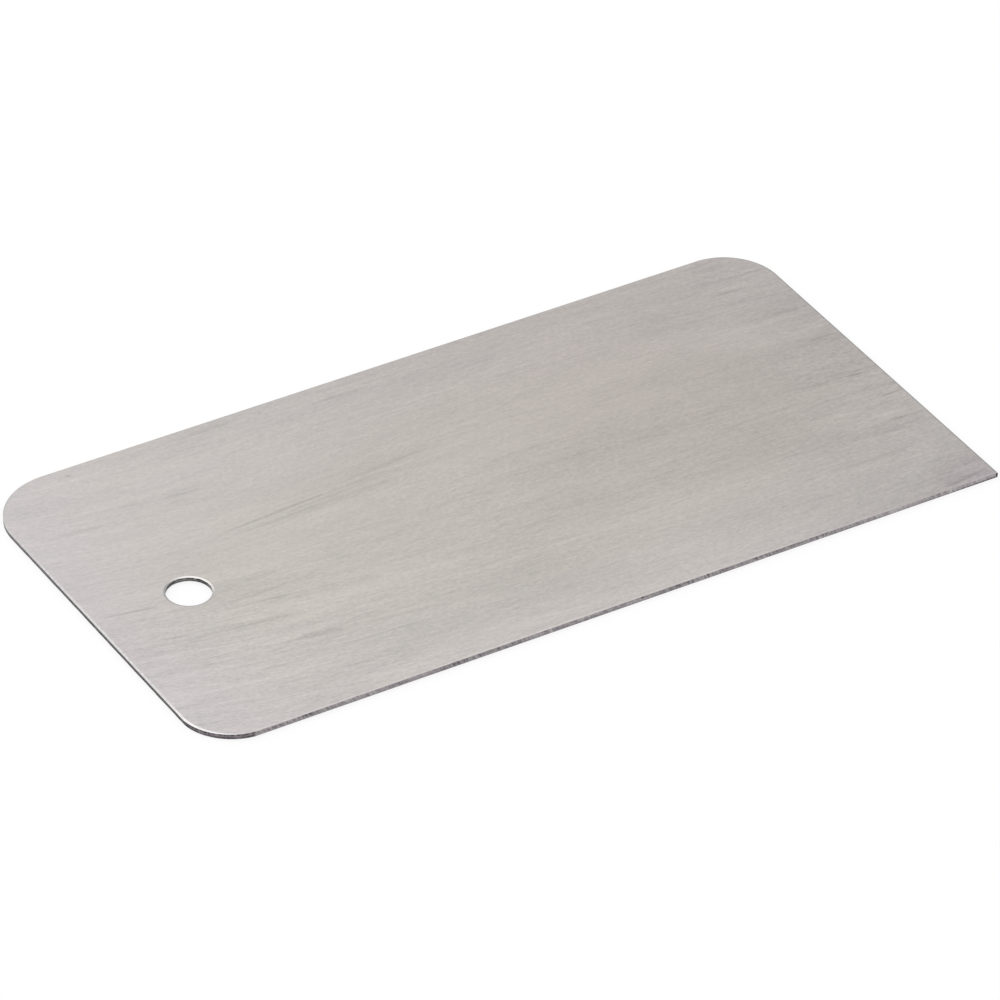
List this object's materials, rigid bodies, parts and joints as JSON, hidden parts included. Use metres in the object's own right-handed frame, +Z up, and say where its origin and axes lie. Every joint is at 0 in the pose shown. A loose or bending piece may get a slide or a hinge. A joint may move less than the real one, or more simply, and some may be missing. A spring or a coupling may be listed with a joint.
{
  "type": "card scraper",
  "caption": "Thin flat spring-steel card scraper with ground long edges, rounded corners but for a square one, and a hanging hole at one end.",
  "frame": {"origin": "middle of the underside, where the plate rests", "axes": "+X along the long scraping edges, away from the hanging hole; +Y across the plate, from the edge with the square corner to the other; +Z up through the thickness, out of the face with the rolled rim"},
  "size_m": [0.125, 0.065, 0.0008],
  "materials": {
    "brushed_steel": "brushed lengthwise on both faces, long edges ground, punched ends and corners with a rolled rim"
  },
  "bodies": {
    "root": {"blade": "brushed_steel"}
  },
  "joints": []
}
